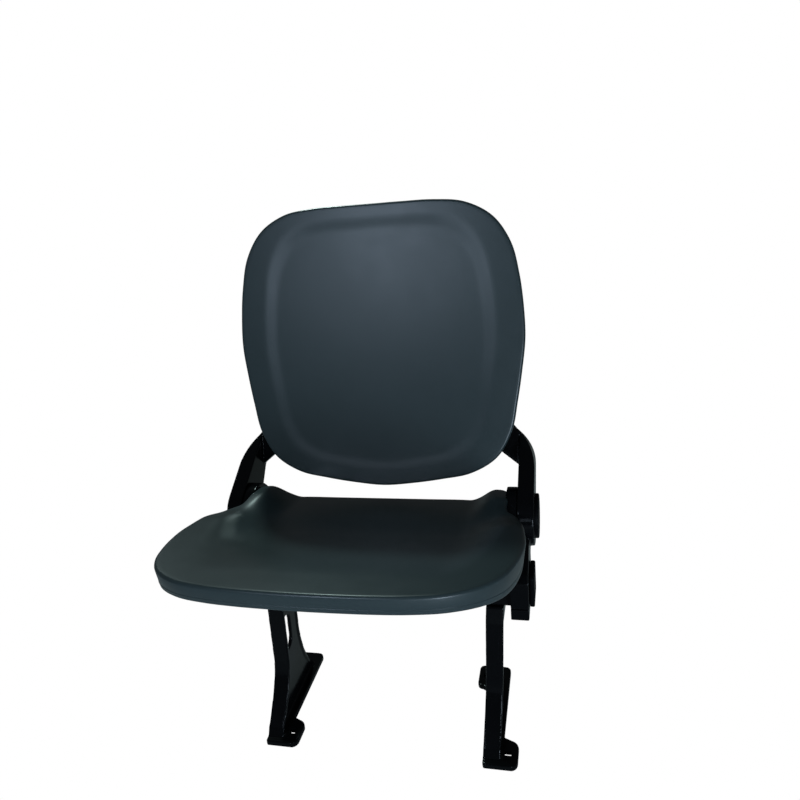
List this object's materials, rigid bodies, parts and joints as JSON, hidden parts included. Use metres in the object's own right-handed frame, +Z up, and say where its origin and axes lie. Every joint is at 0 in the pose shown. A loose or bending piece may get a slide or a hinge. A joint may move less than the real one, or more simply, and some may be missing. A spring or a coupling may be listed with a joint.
{
  "type": "stadium seat",
  "caption": "Tip-up stadium seat: moulded seat on side pivots and a reclined backrest on cast arms, clamped to a square beam that stands on cast floor legs.",
  "frame": {"origin": "on the floor, under the middle of the whole seat's box", "axes": "+Z up, -Y the way the sitter faces, +X to the viewer's right when the seat is seen from the front"},
  "size_m": [0.4888, 0.4898, 0.7963],
  "materials": {
    "slate_plastic": "satin moulded polyethylene with a fine grain",
    "cast_paint": "gloss black powder coat on cast aluminium",
    "beam_paint": "gloss black powder coat on steel tube",
    "black_plastic": "satin black plastic",
    "zinc_steel": "bright zinc plate",
    "nylon": "natural nylon",
    "black_rubber": "matt black rubber"
  },
  "bodies": {
    "frame": {"main_beam": "beam_paint", "beam_cap_left": "black_plastic", "beam_cap_right": "black_plastic", "leg_left": "cast_paint", "leg_right": "cast_paint", "leg_bolt_left_front": "zinc_steel", "leg_bolt_left_rear": "zinc_steel", "leg_bolt_right_front": "zinc_steel", "leg_bolt_right_rear": "zinc_steel", "back_arm_left": "cast_paint", "back_arm_right": "cast_paint", "clamp_jaw_left": "cast_paint", "clamp_jaw_right": "cast_paint", "clamp_bolt_front_left": "zinc_steel", "clamp_bolt_front_right": "zinc_steel", "clamp_bolt_rear_left": "zinc_steel", "clamp_bolt_rear_right": "zinc_steel", "pivot_pin_left": "zinc_steel", "pivot_pin_right": "zinc_steel", "pivot_clip_left": "zinc_steel", "pivot_clip_right": "zinc_steel", "pivot_cap_left": "black_plastic", "pivot_cap_right": "black_plastic", "down_stop_buffer_left": "black_rubber", "down_stop_buffer_right": "black_rubber", "up_stop_buffer_left": "black_rubber", "up_stop_buffer_right": "black_rubber", "backrest_panel": "slate_plastic", "back_screw_upper_left": "zinc_steel", "back_screw_upper_right": "zinc_steel", "back_screw_lower_left": "zinc_steel", "back_screw_lower_right": "zinc_steel"},
    "tipping_seat": {"seat_panel": "slate_plastic", "hinge_arm_left": "cast_paint", "hinge_arm_right": "cast_paint", "seat_screw_rear_left": "zinc_steel", "seat_screw_rear_right": "zinc_steel", "seat_screw_middle_left": "zinc_steel", "seat_screw_middle_right": "zinc_steel", "seat_screw_front_left": "zinc_steel", "seat_screw_front_right": "zinc_steel", "pivot_bush_left": "nylon", "pivot_bush_right": "nylon"}
  },
  "joints": [
    {"name": "seat_tip", "type": "hinge", "parent": "frame", "child": "tipping_seat", "pos_m": [0, 0.0958, 0.34], "axis": [-1, 0, 0], "range_deg": [0, 72]}
  ]
}
